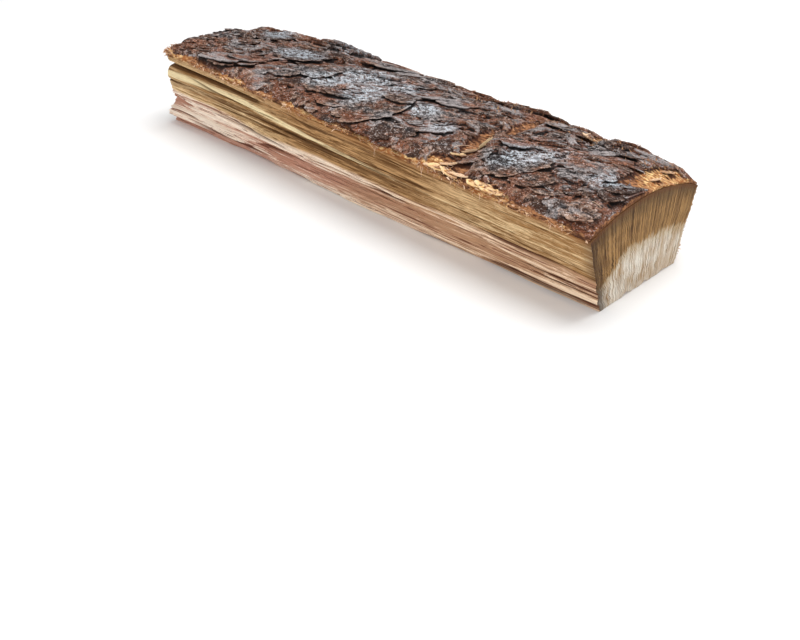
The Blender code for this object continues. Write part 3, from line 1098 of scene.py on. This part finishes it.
def wood_finish():
    finish = Finish("split_wood")
    along, across, up = finish.fact("along"), finish.fact("across"), finish.fact("up")
    sawn = finish.fact("sawn")
    grain, splits = finish.fact("grain"), finish.fact("splits")
    highlight_streak, shadow = finish.fact("highlight_streak"), finish.fact("shadow")
    broad = finish.noise(finish.scaled((5.0, 170.0, 170.0)), 4.0, 0.6, 0.1)
    lines = finish.noise(finish.scaled((8.0, 820.0, 820.0)), 4.0, 0.75)
    fibre = finish.noise(finish.scaled((70.0, 2400.0, 2400.0)), 3.0, 0.7)
    cloud = finish.noise(finish.scaled((14.0, 40.0, 40.0)), 2.0)

    # Torn sapwood
    light = (broad * 0.25 + lines * 0.5 + fibre * 0.25 + grain * 0.08).between(0.43, 0.57)
    thin_lines = 1 - (lines * 0.85 + broad * 0.15).between(0.38, 0.43)
    # Painted shade in the thin splits, with dark grain lines
    split_shade_and_lines = splits.math("MAXIMUM", splits.between(0.15, 0.75), thin_lines * 0.75)
    middle = along.between(0.22, 0.38) * (1 - along.between(0.60, 0.85))
    painted_shadow = shadow * (0.15 + (1 - light) * 0.5) * (1 - along.between(0.3, 0.8) * 0.6)
    # Painted highlight along the lit ledge of the left face
    painted_highlight = highlight_streak * (1 - along.between(0.30, 0.70) * 0.45)
    under_bark = (up + cloud * 0.08).between(0.93, 1.04)
    sap = finish.layers(
        finish.mix(rgb(166, 124, 78), rgb(236, 204, 156), light),
        (finish.mix(rgb(112, 76, 40), rgb(194, 146, 94), light), middle * 0.85),
        # Painted shadow under the lit ledge
        (rgb(94, 66, 38), painted_shadow),
        # Painted highlight along the lit ledge, with pale grain lines
        (rgb(250, 228, 180), (painted_highlight * 0.6 + lines * 0.7).between(0.62, 0.98)),
        # Painted shade in the splits and dark grain lines, in the sapwood
        (rgb(92, 60, 32), split_shade_and_lines * 0.75),
        # Brown band under the bark: darker sapwood, and partly painted shade under the bark's overhang
        (rgb(140, 88, 42), under_bark * (0.3 + along * 0.5)),
        (rgb(84, 58, 36), (along + (fibre - 0.5) * 0.02).between(0.975, 1.0) * 0.6),
    )

    # Torn heartwood, pink at the back end and brown at the front
    bright = (broad * 0.2 + lines * 0.55 + fibre * 0.25 + grain * 0.10).between(0.44, 0.56)
    pink = finish.mix(rgb(204, 154, 132), rgb(255, 236, 216), bright)
    brown = finish.mix(rgb(194, 152, 118), rgb(255, 226, 194), bright)
    red_lines = 1 - (lines * 0.85 + broad * 0.15).between(0.41, 0.46)
    heart = finish.layers(
        finish.mix(pink, brown, (along + cloud * 0.5).between(0.45, 1.05)),
        (rgb(140, 84, 66), red_lines * 0.7),
        # Painted shade in the splits and dark grain lines, in the heartwood
        (rgb(92, 50, 36), split_shade_and_lines * 0.9),
    )
    torn = finish.mix(sap, heart, 1 - (up + cloud * 0.16 - 0.08).between(0.42, 0.48))

    # Saw cuts, brown at the top and pale below
    comb = finish.noise(finish.vector(across * 60.0, up * 0.12, 0.0), 3.0, 0.6)
    fine_comb = finish.noise(finish.vector(across * 190.0, up * 0.4, 3.0), 2.0, 0.6)
    dashes = finish.noise(finish.vector(across * 170.0, up * 3.2, 6.0), 2.0, 0.6)
    patchy = finish.noise(finish.vector(across * 14.0, up * 5.0, 9.0), 2.0)
    lit = (comb * 0.28 + fine_comb * 0.36 + dashes * 0.24 + patchy * 0.12).between(0.44, 0.55)
    dark_comb = 1 - (comb * 0.18 + fine_comb * 0.36 + dashes * 0.46).between(0.42, 0.46)
    upper = finish.layers(
        finish.mix(rgb(96, 65, 36), rgb(187, 144, 91), lit),
        (rgb(50, 34, 20), dark_comb * 0.85),
        (rgb(76, 57, 38), (up + (patchy - 0.5) * 0.4).between(0.76, 1.0) * 0.7),
    )
    worn = (1 - patchy + across * 0.4 - up * 0.25).between(0.58, 0.85)
    lower = finish.layers(
        finish.mix(rgb(184, 150, 110), rgb(255, 248, 234), lit),
        (rgb(190, 152, 106), worn * 0.35),
        (rgb(96, 66, 40), dark_comb * 0.9),
    )
    pale_edge = up + (comb - 0.5) * 0.30 + (patchy - 0.5) * 0.16 + (1 - across.between(0.02, 0.34)) * 0.22
    stain = pale_edge.between(0.38, 0.50) * (1 - pale_edge.between(0.50, 0.56))
    left_rim = 1 - (across + (dashes - 0.5) * 0.24).between(0.02, 0.12)
    under_rim = (up + (dashes - 0.5) * 0.12).between(0.93, 1.0)
    cut = finish.layers(
        lower,
        (upper, pale_edge.between(0.49, 0.55)),
        (rgb(176, 142, 76), stain * 0.35),
        (rgb(72, 50, 32), left_rim * 0.8),
        (rgb(112, 68, 38), under_rim * 0.7),
    )

    colour = finish.mix(torn, finish.shade(cut, 0.92), sawn)
    colour = finish.shade(colour, 0.46 + fibre * 1.08)
    relief = lines * 0.5 + fibre * 0.5 + fine_comb * sawn
    return finish.set(colour, 0.78, relief, 0.0008)


def bark_finish():
    finish = Finish("bark")
    bare, tone, scale = finish.fact("bare"), finish.fact("tone"), finish.fact("scale")
    crevice, crest = finish.fact("crevice"), finish.fact("crest")
    lichen, side = finish.fact("lichen"), finish.fact("side")
    pale, golden = finish.fact("pale"), finish.fact("golden")
    cloud = finish.noise(finish.scaled((38.0, 55.0, 55.0)), 3.0, 0.6)
    mottle = finish.noise(finish.scaled((280.0, 420.0, 420.0)), 4.0, 0.75)
    grit = finish.noise(finish.scaled((1000.0, 1200.0, 1200.0)), 3.0, 0.7)
    fibre = finish.noise(finish.scaled((130.0, 700.0, 700.0)), 3.0, 0.7)
    splits = finish.crack(finish.scaled((150.0, 290.0, 290.0)), mottle, 3.0) * cloud.between(0.40, 0.60)

    # Outer bark, grey and brown, with rust and lichen, a painted highlight on its crests and black painted
    # shade in its crevices
    # Random wear, and lighter on the crests as a painted highlight
    worn = (tone * 0.26 + mottle * 0.58 + cloud * 0.16 + crest * 0.12).between(0.41, 0.63)
    grey = finish.mix(rgb(42, 38, 39), rgb(152, 144, 143), worn)
    brown = finish.mix(rgb(66, 45, 36), rgb(178, 144, 124), worn)
    browner = cloud * 0.9 - tone * 0.25 + mottle * 0.2 + side * 0.12
    edge = crevice.between(0.05, 0.30) * (1 - crevice.between(0.45, 0.80))
    rust = cloud * 0.62 + mottle * 0.26 + tone * 0.05 + side * 0.05 + edge * 0.10 - crest * 0.06
    silver = lichen * (mottle * 0.45 + grit * 0.35 + cloud * 0.2).between(0.47, 0.54)
    plate = finish.layers(
        finish.mix(grey, brown, browner.between(0.36, 0.52)),
        (rgb(140, 82, 54), rust.between(0.46, 0.56) * 0.75),
        (rgb(104, 62, 44), (1 - scale) * 0.7),
        (rgb(28, 18, 17), (1 - (grit * 0.5 + mottle * 0.5).between(0.39, 0.47)) * 0.85),
        # Pale specks: pale crust, and partly painted glints
        (rgb(232, 222, 218), (grit * 0.65 + mottle * 0.35).between(0.54, 0.63) * 0.7),
        (rgb(214, 226, 236), silver * 0.8),
        (rgb(34, 23, 21), splits * 0.7),
        # Black painted shade in the crevices
        (rgb(18, 11, 10), crevice.between(0.10, 0.75) * 0.9),
    )

    # Inner bark, rust brown to golden, and pale where it is a raw chip, with a painted highlight on its
    # crests and painted shade in its hollows
    grain = fibre * 0.5 + mottle * 0.5
    # Lighter gold on the crests, partly a painted highlight
    gilt = grain * 0.9 + crest * 0.30
    gold = finish.mix(rgb(158, 98, 54), rgb(250, 210, 148), gilt.between(0.41, 0.56))
    bright = fibre * 0.4 + grit * 0.25 + crest * 0.30
    # Dark patches, and painted shade in the hollows
    deep = cloud * 0.4 + mottle * 0.3 + crevice * 0.4
    raw = finish.layers(
        finish.mix(rgb(84, 52, 38), rgb(178, 124, 84), grain.between(0.42, 0.56)),
        (gold, (golden * 1.2 - cloud * 0.5).between(0.15, 0.55)),
        # Pale fibre flecks, with a painted highlight on the crests
        (rgb(250, 226, 182), bright.between(0.48, 0.60) * 0.7),
        # Dark patches, and painted shade in the hollows
        (rgb(58, 27, 15), deep.between(0.42, 0.58) * 0.9),
        (rgb(246, 212, 182), pale * (fibre * 0.5 + tone * 0.5).between(0.30, 0.60)),
    )
    stripped = (bare * 1.3 - mottle * 0.6).between(0.30, 0.70)
    colour = finish.mix(plate, raw, stripped)
    colour = finish.shade(colour, 0.57 + grit * 0.88)
    relief = mottle * 0.6 + grit * 0.4 - splits * (0.4 - bare * 0.4)
    return finish.set(colour, 0.82, relief, 0.0010)


def stage():
    """A plain pale floor under soft studio light."""
    mesh = bmesh.new()
    bmesh.ops.create_grid(mesh, x_segments=1, y_segments=1, size=3.0)
    bmesh.ops.translate(mesh, verts=mesh.verts, vec=(0, 0, FLOOR_HEIGHT))
    floor = finished("floor", mesh)
    paint = Finish("floor")
    paint.shader.inputs["Base Color"].default_value = (FLOOR_TONE, FLOOR_TONE, FLOOR_TONE, 1)
    paint.shader.inputs["Roughness"].default_value = 0.9
    floor.data.materials.append(paint.material)
    floor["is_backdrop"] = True
    world = bpy.data.worlds.new("studio")
    world.use_nodes = True
    around = world.node_tree.nodes["Background"].inputs
    around["Color"].default_value = (1.0, 1.0, 1.0, 1)
    around["Strength"].default_value = ROUND_LIGHT
    bpy.context.scene.world = world
    for name, place, size, power in LIGHTS:
        light = bpy.data.lights.new(name, "AREA")
        light.size = size
        light.energy = power
        made = bpy.data.objects.new(name, light)
        made.location = place
        made.rotation_euler = Vector(place).to_track_quat("Z", "Y").to_euler()
        bpy.context.scene.collection.objects.link(made)


def camera():
    data = bpy.data.cameras.new("camera")
    data.lens = CAMERA_LENS
    data.sensor_width = CAMERA_SENSOR
    made = bpy.data.objects.new("camera", data)
    made.location = CAMERA_PLACE
    made.rotation_euler = (math.radians(90 - CAMERA_DOWN), 0, math.radians(CAMERA_TURN))
    bpy.context.scene.collection.objects.link(made)
    bpy.context.scene.camera = made


camera()
stage()
bpy.context.scene.view_settings.view_transform = "Standard"

for node, slot, look, pieces in (
    ("wood", "split_wood", wood_finish(), (split_wood(), wood_splinters())),
    ("bark", "bark", bark_finish(), bark_pieces()),
):
    for piece in pieces:
        piece.data.materials.append(look)
        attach(piece, "root")
        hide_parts(node)

[[list(place) for place in box] for box in (CAD_BOX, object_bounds())]
